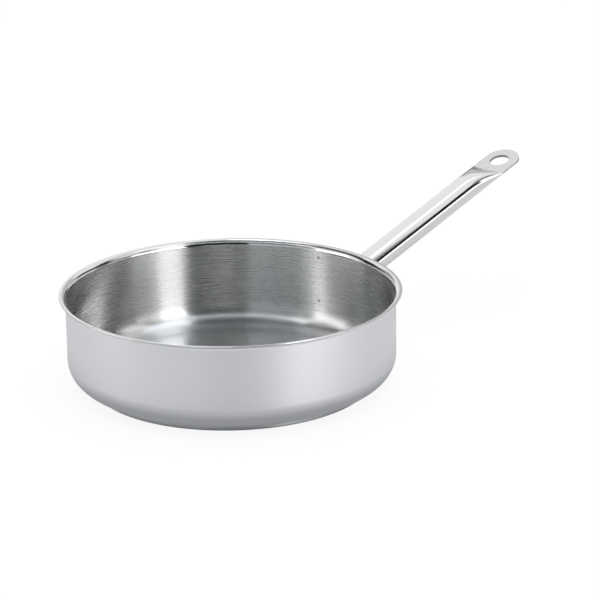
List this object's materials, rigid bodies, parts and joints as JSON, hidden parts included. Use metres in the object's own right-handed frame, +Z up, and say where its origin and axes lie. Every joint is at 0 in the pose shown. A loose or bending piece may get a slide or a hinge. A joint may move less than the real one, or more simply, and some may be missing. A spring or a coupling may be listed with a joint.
{
  "type": "saute pan",
  "caption": "Straight-sided stainless saute pan with a flared pouring lip, a sandwich base and a welded tubular handle that ends in a flattened hanging tab.",
  "frame": {"origin": "centre of the base's flat underside, on the surface that the pan stands on", "axes": "+Z up along the pan's axis, +X horizontally towards the handle's tip"},
  "size_m": [0.4441, 0.2514, 0.1082],
  "materials": {
    "shell_steel": "fine brushed round the pan, satin",
    "core_aluminium": "plain rolled",
    "cap_steel": "turned satin",
    "handle_steel": "polished",
    "bracket_steel": "satin",
    "weld_metal": "weld metal, lightly cleaned"
  },
  "bodies": {
    "root": {"pan_body": "shell_steel", "heat_core": "core_aluminium", "base_cap": "cap_steel", "handle_tube": "handle_steel", "handle_bracket": "bracket_steel", "handle_weld": "weld_metal", "spot_welds": "weld_metal"}
  },
  "joints": []
}
